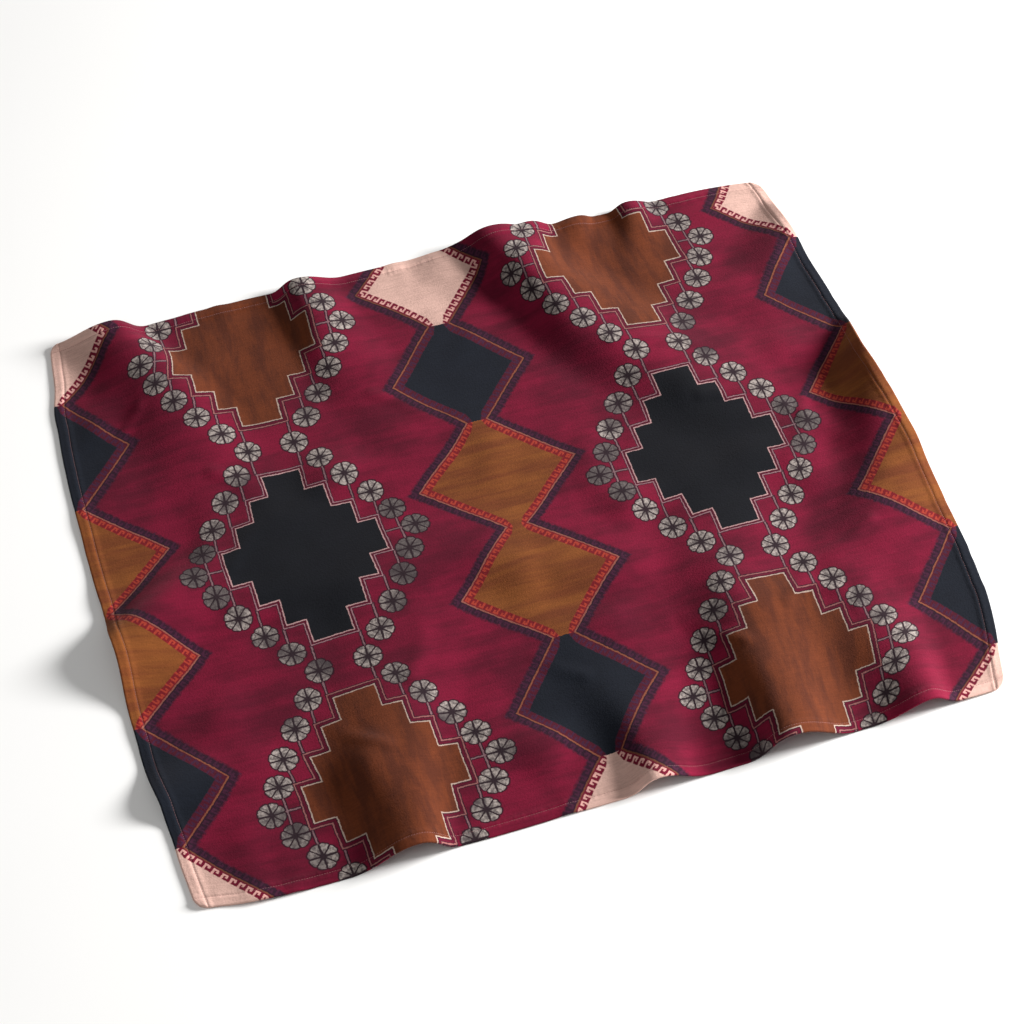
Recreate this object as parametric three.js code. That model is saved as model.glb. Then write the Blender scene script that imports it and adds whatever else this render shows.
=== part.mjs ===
// A plush fleece throw blanket, hemmed all round, laid out on a flat surface in soft folds.
// Millimetres, +Z up. X runs along the width, +Y points to the top edge, and the cloth lies on Z = 0.
// The cloth is one sheet: a grid of cloth points is lifted by its folds, drawn in by what the folds take
// up, and given its thickness along the sheet's own normal.

import * as THREE from "three";
import { mergeVertices } from "three/addons/utils/BufferGeometryUtils.js";

// Driving dimensions
const WIDTH = 1520;
const LENGTH = 1270;
const CLOTH_THICKNESS = 3;
const HEM_WIDTH = 22;
const HEM_THICKNESS = 5;
const HEM_STEP = 4;
const CORNER_RADIUS = 22;
const RIM_ROUND = 1.5;

// Mesh: grid cells between the two hems, and the step used where lengths are added up
const CELLS_ACROSS = 48;
const CELLS_ALONG = 40;
const ADDING_STEP = 5;

// Folds, each a soft ridge along a bowed line from one end to the other, in cloth coordinates from the
// middle of the sheet. Half is half its width and high its height, at the start and at the end. Lean is
// the share by which it is wider on the left of its line than on average, and narrower on the right.
const FOLDS = [
  { name: "long diagonal", from: [150, 665], to: [560, 0], bow: -46, lean: 0.15,
    half: [122, 176], high: [50, 8] },
  { name: "top left", from: [-650, 668], to: [-450, 130], bow: 30, lean: -0.2,
    half: [98, 142], high: [41, 6] },
  { name: "top middle", from: [-245, 660], to: [-150, 250], bow: -20, lean: 0.2,
    half: [80, 112], high: [29, 4] },
  { name: "first pucker", from: [268, 660], to: [222, 505], bow: 5, lean: 0.1,
    half: [44, 62], high: [11, 3] },
  { name: "second pucker", from: [376, 658], to: [338, 545], bow: -6, lean: -0.15,
    half: [42, 56], high: [14, 3] },
  { name: "third pucker", from: [482, 660], to: [436, 480], bow: 8, lean: 0.2,
    half: [56, 74], high: [22, 3] },
  { name: "right side", from: [800, 165], to: [490, -410], bow: 44, lean: 0.15,
    half: [124, 172], high: [50, 7] },
  { name: "right side, upper", from: [785, 520], to: [640, 330], bow: -14, lean: -0.2,
    half: [70, 94], high: [22, 4] },
  { name: "left side", from: [-800, -125], to: [-390, 75], bow: 24, lean: -0.2,
    half: [104, 140], high: [41, 6] },
  { name: "left side, lower", from: [-785, -430], to: [-600, -380], bow: 10, lean: 0.2,
    half: [66, 84], high: [20, 4] },
  { name: "first hem wave", from: [-385, -670], to: [-240, -180], bow: 24, lean: 0.2,
    half: [108, 156], high: [44, 6] },
  { name: "second hem wave", from: [70, -666], to: [20, -330], bow: -16, lean: -0.2,
    half: [88, 120], high: [33, 5] },
  { name: "third hem wave", from: [335, -670], to: [350, -80], bow: 26, lean: -0.15,
    half: [118, 166], high: [50, 7] },
  { name: "fourth hem wave", from: [610, -666], to: [500, -330], bow: -18, lean: 0.2,
    half: [88, 120], high: [33, 5] },
  { name: "broad middle", from: [-420, -60], to: [120, -170], bow: 40, lean: 0.2,
    half: [120, 130], high: [7, 9] },
];

// Height of one fold at a cloth point: a cosine bell across its bowed line, with round ends.
function foldHeight(fold, x, y) {
  const [startX, startY] = fold.from;
  const runX = fold.to[0] - startX;
  const runY = fold.to[1] - startY;
  const run = Math.hypot(runX, runY);
  const along = ((x - startX) * runX + (y - startY) * runY) / run;
  const share = Math.min(Math.max(along / run, 0), 1);
  const eased = share * share * (3 - 2 * share);
  const bowed = fold.bow * (4 * share * (1 - share)) ** 2;
  const side = ((y - startY) * runX - (x - startX) * runY) / run - bowed;
  const evenSide = side / (1 + fold.lean * Math.sign(side));
  const distance = Math.hypot(along - share * run, evenSide) / THREE.MathUtils.lerp(...fold.half, eased);
  if (distance >= 1) return 0;
  return THREE.MathUtils.lerp(...fold.high, eased) * 0.5 * (1 + Math.cos(Math.PI * distance));
}

function clothHeight(x, y) {
  return FOLDS.reduce((sum, fold) => sum + foldHeight(fold, x, y), 0);
}

// Slope of the cloth across and along, from the heights a nudge to either side.
function clothSlope(x, y) {
  const nudge = 0.5;
  return [
    (clothHeight(x + nudge, y) - clothHeight(x - nudge, y)) / (2 * nudge),
    (clothHeight(x, y + nudge) - clothHeight(x, y - nudge)) / (2 * nudge),
  ];
}

// The floor distance covered by a stretch of cloth from the middle out, where its slope lifts it.
function floorReach(distance, slopeAt) {
  const steps = Math.max(1, Math.ceil(Math.abs(distance) / ADDING_STEP));
  const step = distance / steps;
  let reach = 0;
  for (let i = 0; i < steps; i += 1) {
    const slope = slopeAt((i + 0.5) * step);
    reach += step * Math.sqrt(1 - slope * slope);
  }
  return reach;
}

// Grid lines of one direction, from -size/2 to size/2: even cells, with extra lines for the hem.
function gridLines(size, cells) {
  const hemLines = [0, HEM_WIDTH / 2, HEM_WIDTH];
  const inner = size / 2 - HEM_WIDTH - HEM_STEP;
  const lines = hemLines.map((inset) => inset - size / 2);
  for (let i = 0; i <= cells; i += 1) {
    lines.push(-inner + (2 * inner * i) / cells);
  }
  return lines.concat(hemLines.map((inset) => size / 2 - inset).reverse());
}

// The square corner block is turned into a quarter disc, so that the sheet's corner is round.
function roundCorner(x, y) {
  const overX = (Math.abs(x) - (WIDTH / 2 - CORNER_RADIUS)) / CORNER_RADIUS;
  const overY = (Math.abs(y) - (LENGTH / 2 - CORNER_RADIUS)) / CORNER_RADIUS;
  if (overX <= 0 || overY <= 0) return [x, y];
  const discX = overX * Math.sqrt(1 - (overY * overY) / 2);
  const discY = overY * Math.sqrt(1 - (overX * overX) / 2);
  return [
    Math.sign(x) * (WIDTH / 2 - CORNER_RADIUS * (1 - discX)),
    Math.sign(y) * (LENGTH / 2 - CORNER_RADIUS * (1 - discY)),
  ];
}

function distanceFromEdge(x, y) {
  return Math.min(WIDTH / 2 - Math.abs(x), LENGTH / 2 - Math.abs(y));
}

function thicknessAt(x, y) {
  return distanceFromEdge(x, y) < HEM_WIDTH + HEM_STEP / 2 ? HEM_THICKNESS : CLOTH_THICKNESS;
}

// A grid point in its laid place. Through runs from -1 under the sheet to +1 on top of it, and both of
// these faces stop short of the rim by its rounding.
function layPoint(gridX, gridY, through) {
  const onRim = distanceFromEdge(gridX, gridY) < RIM_ROUND;
  const shrink = onRim ? 1 - (RIM_ROUND * Math.abs(through)) / (WIDTH / 2) : 1;
  const [x, y] = roundCorner(gridX, gridY).map((value) => value * shrink);
  const [slopeX, slopeY] = clothSlope(x, y);
  const lift = (thicknessAt(gridX, gridY) * (through + 1)) / 2 / Math.hypot(slopeX, slopeY, 1);
  return [
    floorReach(x, (at) => clothSlope(at, y)[0]) - slopeX * lift,
    floorReach(y, (at) => clothSlope(x, at)[1]) - slopeY * lift,
    clothHeight(x, y) + lift,
  ];
}

function blanketGeometry() {
  const linesX = gridLines(WIDTH, CELLS_ACROSS);
  const linesY = gridLines(LENGTH, CELLS_ALONG);
  const countX = linesX.length - 1;
  const countY = linesY.length - 1;
  const boxed = new THREE.BoxGeometry(countX, countY, 2, countX, countY, 2);
  boxed.deleteAttribute("normal");
  boxed.deleteAttribute("uv");
  const geometry = mergeVertices(boxed, 1e-3);
  const place = geometry.getAttribute("position");
  for (let i = 0; i < place.count; i += 1) {
    const gridX = linesX[Math.round(place.getX(i) + countX / 2)];
    const gridY = linesY[Math.round(place.getY(i) + countY / 2)];
    place.setXYZ(i, ...layPoint(gridX, gridY, Math.round(place.getZ(i))));
  }
  geometry.computeBoundingBox();
  const middle = geometry.boundingBox.getCenter(new THREE.Vector3());
  geometry.translate(-middle.x, -middle.y, -geometry.boundingBox.min.z);
  geometry.computeVertexNormals();
  return geometry;
}

const printedFleece = new THREE.MeshStandardMaterial({ color: 0x8a1f3f, roughness: 0.9, metalness: 0 });

const blanket = new THREE.Mesh(blanketGeometry(), printedFleece);
blanket.name = "blanket";

const throwBlanket = new THREE.Group();
throwBlanket.add(blanket);

export default throwBlanket;
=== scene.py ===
# A plush fleece throw blanket with an all-over geometric rug print, laid out in soft folds.
# Sizes are in millimetres and become metres where a mesh is made. Cloth coordinates run from the middle
# of the flat sheet: x across its width, y towards the top edge of the print.

import math
from collections import namedtuple

import bpy
import numpy as np
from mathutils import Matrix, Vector


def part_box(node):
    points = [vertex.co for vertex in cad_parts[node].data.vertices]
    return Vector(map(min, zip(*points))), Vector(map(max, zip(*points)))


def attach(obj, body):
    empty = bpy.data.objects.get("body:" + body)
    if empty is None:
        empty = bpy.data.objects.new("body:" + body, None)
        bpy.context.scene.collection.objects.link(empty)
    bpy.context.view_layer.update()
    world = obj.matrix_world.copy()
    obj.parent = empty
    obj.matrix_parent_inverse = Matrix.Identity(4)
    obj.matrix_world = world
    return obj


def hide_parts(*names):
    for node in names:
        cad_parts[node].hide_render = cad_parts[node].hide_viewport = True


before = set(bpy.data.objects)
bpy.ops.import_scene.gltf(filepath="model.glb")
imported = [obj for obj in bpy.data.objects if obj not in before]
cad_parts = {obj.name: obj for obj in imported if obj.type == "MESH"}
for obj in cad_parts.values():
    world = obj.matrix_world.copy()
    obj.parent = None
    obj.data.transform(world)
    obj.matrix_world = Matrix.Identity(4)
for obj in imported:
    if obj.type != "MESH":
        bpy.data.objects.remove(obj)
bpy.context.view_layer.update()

MM = 0.001

# The cloth, hems included
WIDTH = 1520.0
LENGTH = 1270.0
HEM_WIDTH = 22.0
CORNER_RADIUS = 22.0
RIM_RADIUS = 2.5
SEAM_INSET = 19.5

# Thickness of the cloth by its distance from the edge: a full hem, the pinched seam, the plain cloth
THICKNESS_INSETS = (0.0, 11.0, 15.5, 18.0, 19.5, 21.0, 23.0, 27.0, 34.0)
THICKNESS_VALUES = (5.0, 5.3, 4.9, 4.0, 3.1, 3.7, 3.9, 3.2, 3.0)

# Mesh: grid lines near an edge, even cells between the hems, and rings between the two layers at the rim
HEM_LINES = (2.5, 4.0, 7.0, 11.0, 15.0, 17.8, 19.5, 21.2, 23.0, 26.0, 31.0)
CELLS_ACROSS = 196
CELLS_ALONG = 162
RIM_STEPS = 5

# Folds: each a soft ridge along a bowed line. Half is half its width and high its height, at the start
# and at the end of the line. Lean is the share by which it is wider on the left of its line than on
# average, and narrower on the right.
Fold = namedtuple("Fold", "name start end bow lean half high")
FOLDS = (
    Fold("long diagonal", (150, 665), (560, 0), -46, 0.15, (122, 176), (50, 8)),
    Fold("top left", (-650, 668), (-450, 130), 30, -0.2, (98, 142), (41, 6)),
    Fold("top middle", (-245, 660), (-150, 250), -20, 0.2, (80, 112), (29, 4)),
    Fold("first pucker", (268, 660), (222, 505), 5, 0.1, (44, 62), (11, 3)),
    Fold("second pucker", (376, 658), (338, 545), -6, -0.15, (42, 56), (14, 3)),
    Fold("third pucker", (482, 660), (436, 480), 8, 0.2, (56, 74), (22, 3)),
    Fold("right side", (800, 165), (490, -410), 44, 0.15, (124, 172), (50, 7)),
    Fold("right side, upper", (785, 520), (640, 330), -14, -0.2, (70, 94), (22, 4)),
    Fold("left side", (-800, -125), (-390, 75), 24, -0.2, (104, 140), (41, 6)),
    Fold("left side, lower", (-785, -430), (-600, -380), 10, 0.2, (66, 84), (20, 4)),
    Fold("first hem wave", (-385, -670), (-240, -180), 24, 0.2, (108, 156), (44, 6)),
    Fold("second hem wave", (70, -666), (20, -330), -16, -0.2, (88, 120), (33, 5)),
    Fold("third hem wave", (335, -670), (350, -80), 26, -0.15, (118, 166), (50, 7)),
    Fold("fourth hem wave", (610, -666), (500, -330), -18, 0.2, (88, 120), (33, 5)),
    Fold("broad middle", (-420, -60), (120, -170), 40, 0.2, (120, 130), (7, 9)),
)

# Small creases that run out of the main folds
CREASES = (
    Fold("beside the long diagonal", (300, 300), (455, 250), 8, 0.0, (18, 26), (2.6, 1.0)),
    Fold("under the long diagonal", (420, 130), (600, 120), -10, 0.0, (22, 34), (3.0, 1.2)),
    Fold("past the long diagonal", (560, 60), (640, -40), 8, 0.0, (24, 30), (2.8, 1.0)),
    Fold("right side, upper", (600, 60), (520, -60), 10, 0.0, (20, 30), (3.4, 1.2)),
    Fold("right side, lower", (610, -240), (450, -300), 8, 0.0, (18, 28), (3.2, 1.2)),
    Fold("right side, end", (500, -360), (400, -330), -6, 0.0, (22, 26), (2.6, 1.0)),
    Fold("left side, upper", (-520, 20), (-420, 110), 8, 0.0, (20, 30), (2.8, 1.0)),
    Fold("left side, lower", (-560, -50), (-430, -120), -8, 0.0, (18, 28), (2.6, 1.0)),
    Fold("top left, end", (-500, 240), (-420, 150), 8, 0.0, (22, 34), (3.0, 1.0)),
    Fold("top left, beside", (-600, 430), (-680, 330), -6, 0.0, (18, 26), (2.4, 1.0)),
    Fold("top middle, end", (-170, 330), (-80, 240), 8, 0.0, (20, 30), (2.4, 1.0)),
    Fold("first hem wave, left", (-360, -430), (-450, -330), 8, 0.0, (18, 28), (3.0, 1.0)),
    Fold("first hem wave, end", (-280, -300), (-220, -190), -8, 0.0, (22, 32), (2.8, 1.0)),
    Fold("second hem wave, end", (10, -390), (-60, -320), 6, 0.0, (20, 28), (2.4, 1.0)),
    Fold("third hem wave, left", (300, -420), (220, -330), 8, 0.0, (18, 28), (3.2, 1.0)),
    Fold("third hem wave, right", (400, -360), (470, -280), -8, 0.0, (20, 30), (3.0, 1.0)),
    Fold("fourth hem wave, end", (520, -410), (590, -330), 8, 0.0, (18, 26), (2.4, 1.0)),
    Fold("top edge, left", (-420, 652), (-400, 590), 3, 0.0, (22, 30), (3.4, 1.0)),
    Fold("top edge, middle", (-40, 652), (-30, 600), -3, 0.0, (24, 30), (3.0, 1.0)),
    Fold("hem, left", (-600, -652), (-580, -590), 3, 0.0, (26, 32), (3.4, 1.0)),
    Fold("hem, middle", (-110, -652), (-90, -590), -3, 0.0, (26, 34), (3.6, 1.0)),
)

# Low swells of the lying cloth
SWELL_HEIGHT = 5.2
SWELL_COUNT = 14
SWELL_LENGTHS = (110.0, 330.0)
SWELL_SEED = 4

# Hem sewing. A stitch is drawn at five places along its length, given as shares of that length. Its
# rises over the cloth and its radii there are shares of the thread's radius.
SEAM_END = 3.5
STITCH_PITCH = 4.3
STITCH_LENGTH = 3.5
STITCH_STEPS = np.array([-0.5, -0.3, 0.0, 0.3, 0.5])
STITCH_RISES = np.array([-1.0, -0.1, 0.2, -0.1, -1.0])
STITCH_RADII = np.array([0.5, 0.95, 1.0, 0.95, 0.5])
THREAD_RADIUS = 0.36
THREAD_SIDES = 6


# Shape of the laid cloth

def fold_height(fold, x, y):
    """Height of one ridge: its height times (1 + cos(pi d)) / 2, where d is the distance from its bowed
    line, counted in half widths; past an end of the line the distance is to that end, so it is round.
    Width and height change along the line by the smooth step s s (3 - 2 s), and the line bows aside by
    (4 s (1 - s)) squared, where s runs from 0 to 1 along it."""
    run_x, run_y = fold.end[0] - fold.start[0], fold.end[1] - fold.start[1]
    run = math.hypot(run_x, run_y)
    from_x, from_y = x - fold.start[0], y - fold.start[1]
    along = (from_x * run_x + from_y * run_y) / run
    share = np.clip(along / run, 0.0, 1.0)
    eased = share * share * (3.0 - 2.0 * share)
    bowed = fold.bow * (4.0 * share * (1.0 - share)) ** 2
    side = (from_y * run_x - from_x * run_y) / run - bowed
    even_side = side / (1.0 + fold.lean * np.sign(side))
    half = fold.half[0] + (fold.half[1] - fold.half[0]) * eased
    high = fold.high[0] + (fold.high[1] - fold.high[0]) * eased
    distance = np.minimum(np.hypot(along - share * run, even_side) / half, 1.0)
    return high * 0.5 * (1.0 + np.cos(np.pi * distance))


def swell_height(x, y):
    """Low swells: a sum of plane waves of seeded directions, lengths and phases, scaled to about -1 to 1.
    Its lower half is cut to zero and its upper half squared, so the cloth lies flat between swells."""
    draw = np.random.default_rng(SWELL_SEED)
    total = np.zeros_like(x)
    for _ in range(SWELL_COUNT):
        turn = draw.uniform(0.0, math.pi)
        wave = 2.0 * math.pi / draw.uniform(*SWELL_LENGTHS)
        phase = draw.uniform(0.0, 2.0 * math.pi)
        total += np.sin(wave * (x * math.cos(turn) + y * math.sin(turn)) + phase)
    return SWELL_HEIGHT * np.maximum(total / math.sqrt(2.0 * SWELL_COUNT), 0.0) ** 2


def cloth_height(x, y):
    """Height of the underside over the floor: all folds, creases and swells added up."""
    return sum(fold_height(fold, x, y) for fold in FOLDS + CREASES) + swell_height(x, y)


def cloth_slope(x, y, nudge=0.5):
    """Slope across and along, from the heights a nudge to either side."""
    across = (cloth_height(x + nudge, y) - cloth_height(x - nudge, y)) / (2.0 * nudge)
    along = (cloth_height(x, y + nudge) - cloth_height(x, y - nudge)) / (2.0 * nudge)
    return across, along


def cloth_thickness(x, y):
    """Thickness of the cloth: the plain cloth's, and what each hem adds by its profile. Each seam runs out
    to the edge, so the two hems lie over each other at a corner."""
    across = np.interp(WIDTH / 2 - np.abs(x), THICKNESS_INSETS, THICKNESS_VALUES)
    along = np.interp(LENGTH / 2 - np.abs(y), THICKNESS_INSETS, THICKNESS_VALUES)
    return across + along - THICKNESS_VALUES[-1]


def round_corner(x, y):
    """The square corner block becomes a quarter disc: a point (a, b) of the unit square goes to
    (a sqrt(1 - b b / 2), b sqrt(1 - a a / 2))."""
    start_x, start_y = WIDTH / 2 - CORNER_RADIUS, LENGTH / 2 - CORNER_RADIUS
    over_x = np.maximum(np.abs(x) - start_x, 0.0) / CORNER_RADIUS
    over_y = np.maximum(np.abs(y) - start_y, 0.0) / CORNER_RADIUS
    disc_x = over_x * np.sqrt(1.0 - over_y ** 2 / 2.0)
    disc_y = over_y * np.sqrt(1.0 - over_x ** 2 / 2.0)
    round_x = np.where(over_x > 0, np.sign(x) * (start_x + CORNER_RADIUS * disc_x), x)
    round_y = np.where(over_y > 0, np.sign(y) * (start_y + CORNER_RADIUS * disc_y), y)
    return round_x, round_y


def grid_lines(size, cells):
    """Grid lines of one direction: set ones in the hems, even cells between them."""
    near = np.array(HEM_LINES)
    inner = size / 2 - near[-1]
    between = np.linspace(-inner, inner, cells + 1)[1:-1]
    return np.concatenate([near - size / 2, between, (size / 2 - near)[::-1]])


def draw_in(lines, heights):
    """How far each point of a row moves towards the middle: a cell keeps its cloth length, so over a
    rise it covers sqrt(run run - rise rise) of floor, and the shortfalls add up from the middle out."""
    run = np.diff(lines)
    rise = np.diff(heights, axis=1)
    shortfall = np.sqrt(np.maximum(run ** 2 - rise ** 2, 0.0)) - run
    total = np.concatenate([np.zeros((len(heights), 1)), np.cumsum(shortfall, axis=1)], axis=1)
    return total - total[:, [len(lines) // 2]]


def lay(grid_x, grid_y, shift_x, shift_y, through):
    """Grid points in their laid place: lifted by the folds, moved by the draw-in, and set off along the
    cloth's normal by its thickness. Through is 1 on top of the cloth and -1 under it."""
    x, y = round_corner(grid_x, grid_y)
    slope_x, slope_y = cloth_slope(x, y)
    share = (through + 1.0) / 2.0 / np.sqrt(1.0 + slope_x ** 2 + slope_y ** 2)
    lift = cloth_thickness(grid_x, grid_y) * share
    return np.stack([x + shift_x - slope_x * lift, y + shift_y - slope_y * lift,
                     cloth_height(x, y) + lift], axis=-1)


def perimeter(rows, columns):
    """Row and column numbers of a grid's outer points, once round, anticlockwise from above."""
    across, along = np.arange(columns - 1), np.arange(rows - 1)
    row = np.concatenate([np.zeros_like(across), along, np.full_like(across, rows - 1), rows - 1 - along])
    column = np.concatenate([across, np.full_like(along, columns - 1), columns - 1 - across,
                             np.zeros_like(along)])
    return row, column


def quads(grid):
    """Quads between the rows of a grid of point numbers."""
    return np.stack([grid[:-1, :-1], grid[:-1, 1:], grid[1:, 1:], grid[1:, :-1]], axis=-1).reshape(-1, 4)


def new_mesh(name, points, faces):
    """A smooth-shaded object from an array of points in millimetres and one of quads."""
    mesh = bpy.data.meshes.new(name)
    mesh.from_pydata((points * MM).tolist(), [], faces.tolist())
    mesh.polygons.foreach_set("use_smooth", np.ones(len(mesh.polygons), dtype=bool))
    mesh.update()
    piece = bpy.data.objects.new(name, mesh)
    bpy.context.scene.collection.objects.link(piece)
    return piece


def rim_rings(edge_x, edge_y):
    """Cloth places and sides of the rings that round the rim, from the top down. A ring lies out from the
    outer grid line by the rim's radius times sin(turn), and its side is cos(turn), for turns from 0 to
    pi."""
    out_x = np.sign(edge_x) * (np.abs(edge_x) > WIDTH / 2 - HEM_LINES[1])
    out_y = np.sign(edge_y) * (np.abs(edge_y) > LENGTH / 2 - HEM_LINES[1])
    turns = np.linspace(0.0, math.pi, RIM_STEPS + 2)[1:-1, None]
    ring_x = edge_x + out_x * RIM_RADIUS * np.sin(turns)
    ring_y = edge_y + out_y * RIM_RADIUS * np.sin(turns)
    return ring_x, ring_y, np.cos(turns)


def sheet_faces(shape, row, column):
    """Quads of the top layer, of the rings that join it to the under layer, and of the under layer. Their
    points are numbered one after the other in that order."""
    size = shape[0] * shape[1]
    top = np.arange(size).reshape(shape)
    rings = size + np.arange(RIM_STEPS * len(row)).reshape(RIM_STEPS, len(row))
    under = top + size + rings.size
    around = np.vstack([top[row, column], rings, under[row, column]])
    around = np.hstack([around, around[:, :1]])
    return np.concatenate([quads(top), quads(around)[:, ::-1], quads(under)[:, ::-1]])


def place_rows(x, y, side):
    """Rows of cloth place and side, 1 on top and -1 under the cloth."""
    return np.stack([x, y, np.broadcast_to(side, x.shape)], axis=-1).reshape(-1, 3)


class LaidCloth:
    """The blanket's points in their laid place, the cloth places they come from, and its faces."""

    def __init__(self):
        self.lines_x = grid_lines(WIDTH, CELLS_ACROSS)
        self.lines_y = grid_lines(LENGTH, CELLS_ALONG)
        grid_x, grid_y = np.meshgrid(self.lines_x, self.lines_y)
        heights = cloth_height(grid_x, grid_y)
        shift_x = draw_in(self.lines_x, heights)
        shift_y = draw_in(self.lines_y, heights.T).T
        row, column = perimeter(*grid_x.shape)
        ring_x, ring_y, ring_side = rim_rings(grid_x[row, column], grid_y[row, column])
        self.top = lay(grid_x, grid_y, shift_x, shift_y, 1.0)
        rings = lay(ring_x, ring_y, shift_x[row, column], shift_y[row, column], ring_side)
        under = lay(grid_x, grid_y, shift_x, shift_y, -1.0)
        self.points = np.concatenate([layer.reshape(-1, 3) for layer in (self.top, rings, under)])
        self.places = np.concatenate([
            place_rows(grid_x, grid_y, 1.0),
            place_rows(ring_x, ring_y, ring_side),
            place_rows(grid_x, grid_y, -1.0),
        ])
        self.faces = sheet_faces(grid_x.shape, row, column)
        self.centre()

    def centre(self):
        """Moves the cloth over the middle of the footprint that the frame gives it."""
        low, high = np.array(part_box("blanket")) / MM
        own = (self.points.min(axis=0) + self.points.max(axis=0)) / 2.0
        move = ((low + high) / 2.0 - own) * (1.0, 1.0, 0.0)
        self.points += move
        self.top += move

    def on_top(self, x, y):
        """Points of the top layer at cloth places, from the four grid points around each."""
        i = np.clip(np.searchsorted(self.lines_x, x, side="right") - 1, 0, len(self.lines_x) - 2)
        j = np.clip(np.searchsorted(self.lines_y, y, side="right") - 1, 0, len(self.lines_y) - 2)
        across = ((x - self.lines_x[i]) / (self.lines_x[i + 1] - self.lines_x[i]))[..., None]
        along = ((y - self.lines_y[j]) / (self.lines_y[j + 1] - self.lines_y[j]))[..., None]
        near = self.top[j, i] * (1 - across) + self.top[j, i + 1] * across
        far = self.top[j + 1, i] * (1 - across) + self.top[j + 1, i + 1] * across
        return near * (1 - along) + far * along


def make_blanket(cloth):
    """The cloth with its hem. The attribute cloth_place holds each point's flat place in millimetres and
    its side of the cloth."""
    blanket = new_mesh("blanket_cloth", cloth.points, cloth.faces)
    place = blanket.data.attributes.new("cloth_place", "FLOAT_VECTOR", "POINT")
    place.data.foreach_set("vector", cloth.places.ravel().astype(np.float32))
    return blanket


def make_hem_thread(cloth):
    """Stitches along the four hems, each a short thread that dips into the pile at both ends: a ring of
    points is carried along the stitch's steps, on the cloth's top, and two quads close each of its ends.
    Each seam runs out to the cloth's edges, across the seams of the two sides."""
    centres = []
    for length, aside, order in ((WIDTH, LENGTH, 1), (LENGTH, WIDTH, -1)):
        reach = length / 2 - SEAM_END
        count = int(2.0 * reach / STITCH_PITCH)
        middles = ((np.arange(count) + 0.5) / count * 2.0 - 1.0) * reach
        along = middles[:, None] + STITCH_STEPS * STITCH_LENGTH
        for side in (-1.0, 1.0):
            beside = np.full_like(along, side * (aside / 2 - SEAM_INSET))
            x, y = (along, beside)[::order]
            centres.append(cloth.on_top(x, y))
    centres = np.concatenate(centres)
    way = centres[:, -1:] - centres[:, :1]
    way = way / np.linalg.norm(way, axis=-1, keepdims=True)
    side = np.cross(way, np.array([0.0, 0.0, 1.0]))
    side = side / np.linalg.norm(side, axis=-1, keepdims=True)
    up = np.cross(side, way)
    centres = centres + up * (STITCH_RISES * THREAD_RADIUS)[:, None]
    turns = np.arange(THREAD_SIDES) * 2.0 * math.pi / THREAD_SIDES
    ring = side[:, :, None] * np.cos(turns)[:, None] + up[:, :, None] * np.sin(turns)[:, None]
    points = centres[:, :, None] + ring * (STITCH_RADII * THREAD_RADIUS)[:, None, None]
    numbers = np.arange(points[..., 0].size).reshape(points.shape[:3])
    near, far = numbers[:, :-1], numbers[:, 1:]
    next_near, next_far = np.roll(near, -1, axis=2), np.roll(far, -1, axis=2)
    walls = np.stack([near, far, next_far, next_near], axis=-1).reshape(-1, 4)
    first, last = numbers[:, 0], numbers[:, -1]
    caps = np.concatenate([first[:, [0, 1, 2, 3]], first[:, [0, 3, 4, 5]],
                           last[:, [3, 2, 1, 0]], last[:, [5, 4, 3, 0]]])
    return new_mesh("hem_thread", points.reshape(-1, 3), np.concatenate([walls, caps]))


# Shader building

class Value:
    """One number of a finish: arithmetic and comparison on it add their Math nodes."""

    def __init__(self, finish, socket):
        self.finish = finish
        self.socket = socket

    def math(self, operation, *others):
        return self.finish.math(operation, self, *others)

    def __add__(self, other):
        return self.math("ADD", other)

    def __sub__(self, other):
        return self.math("SUBTRACT", other)

    def __mul__(self, other):
        return self.math("MULTIPLY", other)

    def __truediv__(self, other):
        return self.math("DIVIDE", other)

    def __pow__(self, other):
        return self.math("POWER", other)

    def __lt__(self, other):
        return self.math("LESS_THAN", other)

    def __gt__(self, other):
        return self.math("GREATER_THAN", other)

    def __abs__(self):
        return self.math("ABSOLUTE")

    def __rsub__(self, other):
        return self.finish.math("SUBTRACT", other, self)

    def __rtruediv__(self, other):
        return self.finish.math("DIVIDE", other, self)

    __radd__ = __add__
    __rmul__ = __mul__


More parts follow.
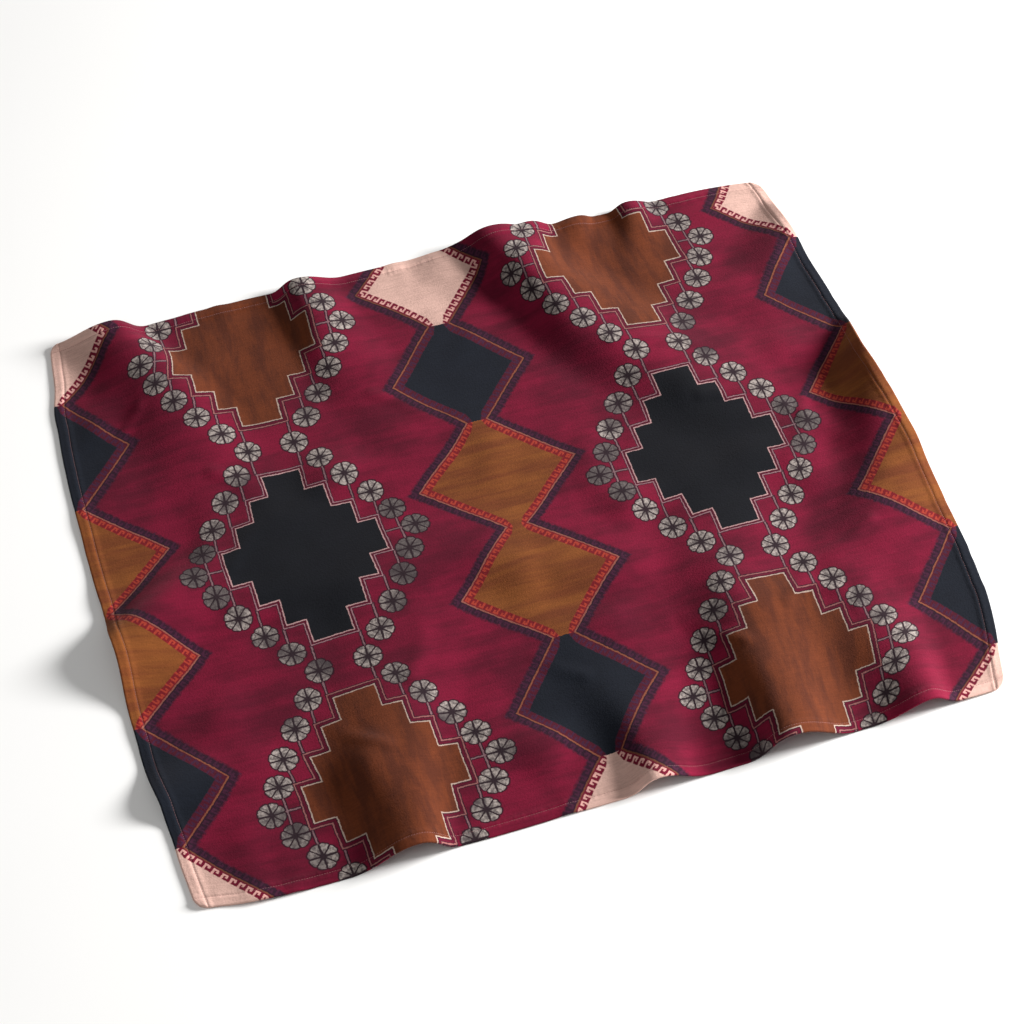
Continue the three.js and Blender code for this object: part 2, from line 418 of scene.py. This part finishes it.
class Finish:
    """A material's node tree. Add makes any node from its type, its settings and its inputs."""

    def __init__(self, name):
        self.material = bpy.data.materials.new(name)
        self.material.use_nodes = True
        self.nodes = self.material.node_tree.nodes
        self.links = self.material.node_tree.links
        self.nodes.clear()

    def add(self, kind, settings=None, inputs=None):
        node = self.nodes.new("ShaderNode" + kind)
        for name, value in (settings or {}).items():
            if name == "stops":
                self.set_stops(node.color_ramp, value)
            else:
                setattr(node, name, value)
        for name, value in (inputs or {}).items():
            self.fill(node.inputs[name], value)
        return node

    def set_stops(self, ramp, stops):
        while len(ramp.elements) < len(stops):
            ramp.elements.new(1.0)
        for element, (position, colour) in zip(ramp.elements, stops):
            element.position = position
            element.color = colour

    def fill(self, socket, value):
        if isinstance(value, Value):
            value = value.socket
        if isinstance(value, bpy.types.NodeSocket):
            self.links.new(value, socket)
        else:
            socket.default_value = value

    def math(self, operation, *values):
        return Value(self, self.add("Math", {"operation": operation}, dict(enumerate(values))).outputs[0])

    def vector(self, operation, *values):
        return self.add("VectorMath", {"operation": operation}, dict(enumerate(values))).outputs[0]

    def scaled(self, vector, amount):
        return self.add("VectorMath", {"operation": "SCALE"}, {0: vector, "Scale": amount}).outputs[0]

    def own_place(self):
        """The piece's Object coordinates, in millimetres."""
        return self.scaled(self.add("TexCoord").outputs["Object"], 1.0 / MM)

    def noise_node(self, vector, size, detail, roughness):
        return self.add("TexNoise", {"noise_dimensions": "3D"}, {
            "Vector": vector, "Scale": 1.0 / size, "Detail": detail, "Roughness": roughness})

    def noise(self, vector, size, detail=2.0, roughness=0.5):
        """Noise of about 0 to 1 whose lumps are as large as size, in millimetres."""
        return Value(self, self.noise_node(vector, size, detail, roughness).outputs[0])

    def unevenness(self, vector, size, reach, detail=2.0, roughness=0.5):
        """A vector that wanders either way from zero, in lumps as large as size; reach scales it."""
        wander = self.noise_node(vector, size, detail, roughness).outputs["Color"]
        return self.scaled(self.vector("SUBTRACT", wander, (0.5, 0.5, 0.5)), reach)

    def parts(self, vector):
        node = self.add("SeparateXYZ", inputs={0: vector})
        return [Value(self, output) for output in node.outputs]

    def rise(self, value, low, high):
        """A smooth step: 0 where value is low, 1 where it is high."""
        node = self.add("MapRange", {"interpolation_type": "SMOOTHSTEP"},
                        {"Value": value, "From Min": low, "From Max": high})
        return Value(self, node.outputs[0])

    def within(self, value, limit, soft):
        """A mask: 1 where value is under limit and 0 over it, with a change of soft to either side."""
        return self.rise(value, limit + soft, limit - soft)

    def least(self, *values):
        result = values[0]
        for value in values[1:]:
            result = result.math("MINIMUM", value)
        return result

    def most(self, *values):
        result = values[0]
        for value in values[1:]:
            result = result.math("MAXIMUM", value)
        return result

    def mix(self, share, colour, other):
        """Colour where share is 0, other where it is 1. A Mix node's colours are its inputs 6 and 7 and its
        output 2."""
        node = self.add("Mix", {"data_type": "RGBA"}, {0: share, 6: colour, 7: other})
        return node.outputs[2]

    def ramp(self, share, stops):
        return self.add("ValToRGB", {"stops": stops}, {0: share}).outputs[0]

    def close(self, inputs):
        """Ends the tree with one Principled shader, and gives the material."""
        shader = self.add("BsdfPrincipled", inputs=inputs)
        self.add("OutputMaterial", inputs={"Surface": shader.outputs[0]})
        return self.material


def dye(red, green, blue):
    """A dye given in the 0 to 255 values of a picture, as a linear colour, by the sRGB curve."""
    channels = np.array([red, green, blue]) / 255.0
    linear = np.where(channels <= 0.04045, channels / 12.92, ((channels + 0.055) / 1.055) ** 2.4)
    return (*linear.tolist(), 1.0)


# The print, in millimetres of flat cloth. Across is x, and down runs from the middle of the black
# medallions towards the bottom hem.

# Medallions: columns of them, their steps across and tiers down, and how far their outlines reach
COLUMN_SPACING = 764.0
MEDALLION_SPACING = 500.0
DOWN_AT_MIDDLE = 15.0
MEDALLION_STEPS = 4
STEP = 35.4
TIER = 50.0
MIDDLE_TIER = 74.0
LINES_REACH = 15.0
BLACK_REACH = 9.5
RUST_REACH = 13.4
FIGURE_SOFT = 0.5
LINE_SOFT = 0.25

# Sprays: rosettes and stems in rows, from row 0 at a medallion's widest tier to the last at its tip.
# What lies aside is counted in steps. The first two are sprig rows, which stand closer to the medallion
# and are darker beside a black one.
LAST_ROW = 5.0
SPRIG_ROWS = 2.0
SPRIG_PULL = 0.22
SPRIG_DARKNESS = 0.75
STEM_ASIDE = 1.24
STEM_HALF = 3.3
STEM_CORE = 1.4
STEM_OVERLAP = 7.0
CROSS_ASIDE = 5.1
CROSS_HALF = 0.85
ROSETTE_WIDE = 24.5
ROSETTE_HIGH = 23.5
HALF_PETALS = 4.0
PETAL_DENT = 0.13
HEART_PALENESS = 0.35
SPOKE_HALF = 1.5
SPOKE_SWELL = 0.3

# Chains of diamonds: half widths at the middle and at a neck. Slant is about the length of a slanted side
# for each millimetre down.
DIAMOND_PITCH = 250.0
DIAMOND_START = 60.0
LEFT_CHAIN_LIFT = 30.0
NECK = 20.0
GOLD_HALF = 147.0
DARK_HALF = 130.0
SLANT = 1.4
CHAIN_LINE_HALF = 1.35

# Hooked borders of the diamonds. The inner one takes up to a share of the diamond's half width.
BAND = 16.0
BAND_SHARE = 0.42
BAND_SOFT = 0.9
OUTER_SOFT = 3.5
OUTER_FRAY = 9.0
OUTER_HOOK_STRENGTH = 0.6

# One hook: where its parts lie along the border, and how far out they run from the border's line
HOOK_PITCH = 14.0
STROKE_AT = 2.3
LEG_AT = 8.2
STROKE_HALF = 1.7
BAR_AT = 5.2
BAR_HALF = 4.7
HOOK_START = 3.8
BAR_END = 7.4
LEG_END = 11.0
HOOK_SOFT = 0.5
HOOK_END_SOFT = 0.6

# Grain of the cloth: how weft and warp stretch it, what share patches and specks have in the mottling,
# and what each kind adds to the shade and to the relief. The nap's share is painted sheen, the hem's a
# painted highlight
WEFT_STRETCH = (0.12, 1.0, 1.0)
WARP_STRETCH = (1.0, 0.22, 1.0)
PATCH_SHARE = 0.6
SPECK_SHARE = 0.75
SHADE_BASE = 0.36
WEFT_SHADE = 0.44
PILE_SHADE = 0.42
NAP_SHEEN = 0.44
HEM_HIGHLIGHT = 0.16
PILE_RELIEF = 0.5
TUFT_RELIEF = 0.8
PUCKER_RELIEF = 2.4
RELIEF_DEPTH = 1.2
REVERSE_BASE = 0.7
REVERSE_PILE = 0.6

# Dyes
CRIMSON = dye(107, 12, 40)
CRIMSON_DEEP = dye(78, 9, 30)
BLACK = dye(13, 15, 20)
NAVY = dye(19, 23, 31)
RUST = dye(93, 44, 22)
RUST_DEEP = dye(74, 34, 19)
GOLD = dye(115, 65, 29)
GOLD_DEEP = dye(97, 49, 25)
CREAM = dye(192, 156, 144)
PETAL = dye(152, 141, 135)
PETAL_DARK = dye(64, 56, 57)
SPOKE_DARK = dye(38, 26, 31)
PLUM = dye(38, 13, 24)
STEM_PALE = dye(112, 84, 88)
LINE_PINK = dye(162, 126, 125)
LINE_PALE = dye(156, 136, 124)
LINE_MAUVE = dye(132, 94, 100)
LINE_RUSTY = dye(128, 80, 78)
OUTER_GROUND = dye(40, 16, 31)
OUTER_HOOK = dye(66, 26, 48)
REVERSE = dye(122, 52, 70)
THREAD_DARK = dye(112, 66, 68)
THREAD_PALE = dye(160, 112, 110)
FLOOR_DIM = dye(240, 239, 237)
FLOOR_PALE = dye(247, 246, 244)

Diamond = namedtuple("Diamond", "ground hook line")
GOLD_DIAMOND = Diamond(ground=dye(104, 21, 27), hook=dye(144, 50, 37), line=dye(126, 74, 63))
NAVY_DIAMOND = Diamond(ground=dye(68, 16, 32), hook=dye(58, 26, 48), line=dye(118, 67, 47))
CREAM_DIAMOND = Diamond(ground=dye(98, 14, 36), hook=dye(192, 142, 134), line=dye(98, 55, 40))

# Lines round the medallions, each from its start in millimetres from the figure's edge
BLACK_LINES = ((0.0, LINE_PINK), (2.2, PLUM), (3.1, CRIMSON_DEEP), (5.2, PLUM), (6.1, LINE_MAUVE),
               (8.2, PLUM))
RUST_LINES = ((0.0, LINE_PALE), (2.2, PLUM), (3.6, CRIMSON_DEEP), (8.4, PLUM), (9.4, LINE_RUSTY),
              (11.8, PLUM))


def line_stops(lines):
    """Ramp stops for lines drawn side by side, with a soft change between each two of them."""
    stops = [(0.0, lines[0][1])]
    for (_, before), (start, after) in zip(lines, lines[1:]):
        stops.append(((start - LINE_SOFT) / LINES_REACH, before))
        stops.append(((start + LINE_SOFT) / LINES_REACH, after))
    return stops


def medallion(finish, colour, aside, beyond, is_rust, streaks):
    """Stepped medallions: boxes, each a step wider and a tier lower than the last, and the lines that
    follow their joint outline at set distances."""
    boxes = []
    for count in range(1, MEDALLION_STEPS + 1):
        reach = MIDDLE_TIER / 2 + TIER * (MEDALLION_STEPS - count)
        boxes.append(finish.most(aside - count * STEP, beyond - reach))
    outside = finish.least(*boxes)
    from_edge = outside / LINES_REACH
    black_lines = finish.ramp(from_edge, line_stops(BLACK_LINES))
    rust_lines = finish.ramp(from_edge, line_stops(RUST_LINES))
    lines = finish.mix(is_rust, black_lines, rust_lines)
    rust = finish.mix(streaks, RUST_DEEP, RUST)
    inside = finish.mix(is_rust, BLACK, rust)
    figure = finish.mix(finish.within(outside, 0.0, FIGURE_SOFT), lines, inside)
    reach = is_rust * (RUST_REACH - BLACK_REACH) + BLACK_REACH
    return finish.mix(finish.within(outside - reach, 0.0, FIGURE_SOFT), colour, figure)


def stem_place(finish, row):
    """Distance of a row's stem or rosette from the medallion's axis: a step less for each row away from
    the widest tier, and the sprig rows pulled in."""
    pulled = SPRIG_PULL * finish.most(SPRIG_ROWS - row, 0.0)
    return (LAST_ROW + STEM_ASIDE - row - pulled) * STEP


def stems(finish, colour, aside, beyond):
    """Stems that run from tier to tier beside the medallions, and a short cross stem at the widest tier,
    each with a pale core."""
    row = finish.least(((beyond + STEM_OVERLAP) / TIER).math("CEIL"), LAST_ROW)
    upright = abs(aside - stem_place(finish, row))
    cross = finish.most(beyond, abs(aside - CROSS_ASIDE * STEP) - CROSS_HALF * STEP)
    from_stem = finish.least(upright, cross)
    colour = finish.mix(finish.within(from_stem, STEM_HALF, soft=0.6), colour, PLUM)
    return finish.mix(finish.within(from_stem, STEM_CORE, soft=0.4), colour, STEM_PALE)


def rosettes(finish, colour, aside, beyond, is_rust, grain):
    """Rosettes, one to a tier: a dark-edged disc whose rim dips between two petals by the cube of
    1 - |sin(4 turn)|, and the dark spokes that part its petals."""
    row = (beyond / TIER).math("ROUND")
    over = (aside - stem_place(finish, row)) / ROSETTE_WIDE
    up = (beyond - row * TIER) / ROSETTE_HIGH
    radius = (over * over + up * up).math("SQRT")
    turn = up.math("ARCTAN2", over) * HALF_PETALS
    petals = abs(turn.math("SINE"))
    rim = 1.0 - PETAL_DENT * (1.0 - petals) ** 3.0
    colour = finish.mix(finish.within(radius - rim, 0.1, soft=0.06), colour, PLUM)
    darker = (row < SPRIG_ROWS - 0.5) * (1.0 - is_rust) * SPRIG_DARKNESS
    from_heart = HEART_PALENESS + (1.0 - HEART_PALENESS) * finish.rise(radius, low=0.1, high=0.75)
    petal = finish.mix(grain * (1.0 - darker) * from_heart, PETAL_DARK, PETAL)
    colour = finish.mix(finish.within(radius - rim, -0.01, soft=0.03), colour, petal)
    spoke_width = turn.math("COSINE") * SPOKE_SWELL + SPOKE_HALF
    from_spoke = radius * petals * (ROSETTE_WIDE / HALF_PETALS)
    spoke = finish.within(from_spoke - spoke_width, 0.05, soft=0.45) * (radius < rim)
    return finish.mix(spoke, colour, SPOKE_DARK)


def hooks(finish, along, out):
    """Running hooks in a border: a stroke over the whole border, a bar beside the border's line, and a
    short leg out from the bar's other end."""
    stroke = finish.within(abs(along - STROKE_AT), STROKE_HALF, HOOK_SOFT)
    bar = finish.within(abs(along - BAR_AT), BAR_HALF, HOOK_SOFT)
    leg = finish.within(abs(along - LEG_AT), STROKE_HALF, HOOK_SOFT)
    bar = bar * finish.within(out, BAR_END, HOOK_END_SOFT)
    leg = leg * finish.within(out, LEG_END, HOOK_END_SOFT)
    started = finish.rise(out, HOOK_START - HOOK_SOFT, HOOK_START + HOOK_SOFT)
    return finish.most(stroke, bar, leg) * started


def diamond_chain(finish, colour, off_axis, down, across, grain, specks):
    """Chains of diamonds, neck to neck: a thin line along each slanted side, a frayed dark border with
    hooks outside it and a brighter one inside it. Counted either way from the chain's start, the first
    diamond is gold, the second navy and the rest cream."""
    chain_down = down - DIAMOND_START + (across < -COLUMN_SPACING / 2) * LEFT_CHAIN_LIFT
    number = (abs(chain_down) / DIAMOND_PITCH).math("FLOOR")
    from_neck = chain_down.math("PINGPONG", DIAMOND_PITCH / 2)
    is_dark = number > 0.5
    is_cream = number > 1.5
    half = GOLD_HALF - is_dark * (GOLD_HALF - DARK_HALF)
    slope = (half - NECK) / (DIAMOND_PITCH / 2)
    outside = (off_axis - NECK - slope * from_neck) / SLANT
    along = (((off_axis - NECK) * slope + from_neck) / SLANT).math("FLOORED_MODULO", HOOK_PITCH)

    def by_kind(gold, navy, cream):
        return finish.mix(is_cream, finish.mix(is_dark, gold, navy), cream)

    fill = by_kind(finish.mix(grain, GOLD_DEEP, GOLD), NAVY, CREAM)
    ground, hook, line = (by_kind(*dyes) for dyes in zip(GOLD_DIAMOND, NAVY_DIAMOND, CREAM_DIAMOND))

    outer = finish.mix(hooks(finish, along, outside) * OUTER_HOOK_STRENGTH, OUTER_GROUND, OUTER_HOOK)
    frayed = outside + (specks - 0.5) * OUTER_FRAY
    colour = finish.mix(finish.within(frayed, BAND, OUTER_SOFT), colour, outer)
    inner = finish.mix(hooks(finish, along, 0.0 - outside), ground, hook)
    inner_reach = finish.least((slope * from_neck + NECK) * BAND_SHARE, BAND)
    inner = finish.mix(finish.within(outside + inner_reach, 0.0, BAND_SOFT), inner, fill)
    colour = finish.mix(finish.within(outside, 0.0, soft=0.4), colour, inner)
    return finish.mix(finish.within(abs(outside), CHAIN_LINE_HALF, soft=0.45), colour, line)


def rug_print(finish, flat, stretched):
    """Colour of the print at a cloth place. The figures are made uneven as hand weaving is, by a slow
    drift and a fine fray of their places, and their dyes are streaked and patched."""
    drift = finish.unevenness(flat, size=210.0, reach=20.0, detail=1.0)
    fray = finish.unevenness(flat, size=7.0, reach=4.4, detail=3.0, roughness=0.75)
    woven = finish.vector("ADD", flat, finish.vector("ADD", drift, fray))
    across, woven_y, _ = finish.parts(woven)
    down = DOWN_AT_MIDDLE - woven_y

    off_axis = across.math("PINGPONG", COLUMN_SPACING / 2)
    aside = COLUMN_SPACING / 2 - off_axis
    beyond = down.math("PINGPONG", MEDALLION_SPACING / 2)
    is_rust = abs(down) > MEDALLION_SPACING / 2

    upright = finish.vector("MULTIPLY", flat, WARP_STRETCH)
    bands = finish.noise(stretched, size=34.0, detail=3.0, roughness=0.6)
    patches = finish.noise(flat, size=170.0, detail=3.0, roughness=0.6)
    specks = finish.noise(flat, size=6.0, detail=2.0, roughness=0.6)
    strands = finish.noise(upright, size=30.0, detail=4.0, roughness=0.65)
    streaks = finish.rise(strands, low=0.36, high=0.62)
    mottle = finish.rise(patches * PATCH_SHARE + bands * (1.0 - PATCH_SHARE), low=0.38, high=0.6)
    speckled = 1.0 - SPECK_SHARE + SPECK_SHARE * finish.rise(specks, low=0.36, high=0.64)
    petal_grain = finish.rise(patches, low=0.33, high=0.54) * speckled
    gold_grain = finish.rise(bands, low=0.35, high=0.65)

    colour = finish.mix(mottle, CRIMSON_DEEP, CRIMSON)
    colour = stems(finish, colour, aside, beyond)
    colour = rosettes(finish, colour, aside, beyond, is_rust, petal_grain)
    colour = medallion(finish, colour, aside, beyond, is_rust, streaks)
    return diamond_chain(finish, colour, off_axis, down, across, gold_grain, specks)


def printed_fleece():
    """Plush fleece with the rug print on top, broken up by weft, pile and a painted sheen of nap patches,
    with a painted highlight on its hem, and plain on its reverse. Tufts of pile and the puckers beside the
    seams make the relief."""
    finish = Finish("printed_fleece")
    flat = finish.add("Attribute", {"attribute_name": "cloth_place"}).outputs["Vector"]
    flat_x, flat_y, side = finish.parts(flat)
    inset_x = WIDTH / 2 - abs(flat_x)
    inset_y = LENGTH / 2 - abs(flat_y)
    inset = finish.least(inset_x, inset_y)

    stretched = finish.vector("MULTIPLY", flat, WEFT_STRETCH)
    weft = finish.noise(stretched, size=2.6, detail=2.0)
    pile = finish.noise(flat, size=1.5, detail=3.0, roughness=0.7)
    # Painted sheen: broad patches, lighter and darker, where the pile's lean would catch the light
    # differently
    nap_sheen = finish.noise(flat, size=55.0, detail=3.0, roughness=0.55)
    # Painted highlight: the hem strip is lightened where the puffed hem would catch the light
    hem_highlight = finish.within(inset, SEAM_INSET - 0.25, soft=0.75)
    shade = SHADE_BASE + weft * WEFT_SHADE + pile * PILE_SHADE + nap_sheen * NAP_SHEEN + hem_highlight * HEM_HIGHLIGHT
    colour = finish.scaled(rug_print(finish, flat, stretched), shade)
    reverse = finish.scaled(REVERSE[:3], REVERSE_BASE + pile * REVERSE_PILE)
    is_reverse = (side < -0.9) * (inset > HEM_WIDTH)
    colour = finish.mix(is_reverse, colour, reverse)

    tufts = finish.noise(flat, size=3.6, detail=2.0, roughness=0.6)
    from_seam = finish.least(abs(inset_x - SEAM_INSET), abs(inset_y - SEAM_INSET))
    near_seam = finish.within(from_seam, 7.5, soft=5.5)
    on_side = inset_x < inset_y
    along_hem = finish.add("CombineXYZ", inputs={"X": flat_x + on_side * (flat_y - flat_x)}).outputs[0]
    pucker = finish.noise(along_hem, size=11.0, detail=1.0)
    height = pile * PILE_RELIEF + tufts * TUFT_RELIEF + near_seam * pucker * PUCKER_RELIEF
    bump = finish.add("Bump", inputs={
        "Strength": 0.55, "Distance": RELIEF_DEPTH * MM, "Height": height})
    return finish.close({
        "Base Color": colour, "Roughness": 0.95, "Sheen Weight": 0.08, "Sheen Roughness": 0.45,
        "Sheen Tint": (1.0, 0.86, 0.88, 1.0), "Specular IOR Level": 0.12, "Normal": bump.outputs[0]})


def sewing_thread():
    """Dusty rose sewing thread with a fine twist."""
    finish = Finish("sewing_thread")
    twist = finish.noise(finish.own_place(), size=0.5, detail=1.0)
    colour = finish.mix(twist, THREAD_DARK, THREAD_PALE)
    return finish.close({"Base Color": colour, "Roughness": 0.7, "Sheen Weight": 0.2})


def pale_floor():
    """Plain pale studio floor, with the faintest unevenness."""
    finish = Finish("pale_floor")
    cloud = finish.noise(finish.own_place(), size=900.0)
    colour = finish.mix(cloud, FLOOR_DIM, FLOOR_PALE)
    return finish.close({"Base Color": colour, "Roughness": 0.85})


# Camera, lights and floor. Camera and lights take metres and degrees, the floor millimetres.

CAMERA_AZIMUTH = 18.0
CAMERA_ELEVATION = 54.0
CAMERA_DISTANCE = 4.3
CAMERA_TARGET = Vector((0.0, -0.01, 0.0))
LENS = 83.0

Light = namedtuple("Light", "name azimuth elevation distance size watts")
LIGHTS = (
    Light("key", -88.0, 21.0, 7.0, 2.2, 1380.0),
    Light("fill", 60.0, 60.0, 5.0, 3.0, 40.0),
)
STUDIO_BRIGHTNESS = 0.24
FLOOR_HALF = 40000.0


def aim(thing, place, target):
    thing.location = place
    thing.rotation_euler = (target - place).to_track_quat("-Z", "Y").to_euler()


def around(azimuth, elevation, distance, target):
    """A place seen from the target at an azimuth left of -Y and an elevation, both in degrees."""
    turn, climb = math.radians(azimuth), math.radians(elevation)
    way = Vector((-math.sin(turn) * math.cos(climb), -math.cos(turn) * math.cos(climb), math.sin(climb)))
    return target + way * distance


def add_camera():
    camera = bpy.data.objects.new("camera", bpy.data.cameras.new("camera"))
    camera.data.lens = LENS
    bpy.context.scene.collection.objects.link(camera)
    place = around(CAMERA_AZIMUTH, CAMERA_ELEVATION, CAMERA_DISTANCE, CAMERA_TARGET)
    aim(camera, place, CAMERA_TARGET)
    bpy.context.scene.camera = camera


def add_light(light):
    lamp = bpy.data.lights.new(light.name, "AREA")
    lamp.shape = "DISK"
    lamp.size = light.size
    lamp.energy = light.watts
    stand = bpy.data.objects.new(light.name, lamp)
    bpy.context.scene.collection.objects.link(stand)
    middle = Vector((0.0, 0.0, 0.0))
    aim(stand, around(light.azimuth, light.elevation, light.distance, middle), middle)


def add_studio():
    for light in LIGHTS:
        add_light(light)
    world = bpy.data.worlds.new("studio")
    world.use_nodes = True
    background = world.node_tree.nodes["Background"]
    background.inputs["Color"].default_value = (1.0, 1.0, 1.0, 1.0)
    background.inputs["Strength"].default_value = STUDIO_BRIGHTNESS
    bpy.context.scene.world = world
    bpy.context.scene.view_settings.view_transform = "Standard"

    corners = np.array([(-1.0, -1.0, 0.0), (1.0, -1.0, 0.0), (1.0, 1.0, 0.0), (-1.0, 1.0, 0.0)])
    floor = new_mesh("studio_floor", corners * FLOOR_HALF, np.array([[0, 1, 2, 3]]))
    floor.data.materials.append(pale_floor())


add_camera()
add_studio()

cloth = LaidCloth()
blanket = make_blanket(cloth)
blanket.data.materials.append(printed_fleece())
hem_thread = make_hem_thread(cloth)
hem_thread.data.materials.append(sewing_thread())

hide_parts("blanket")
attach(blanket, "root")
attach(hem_thread, "root")
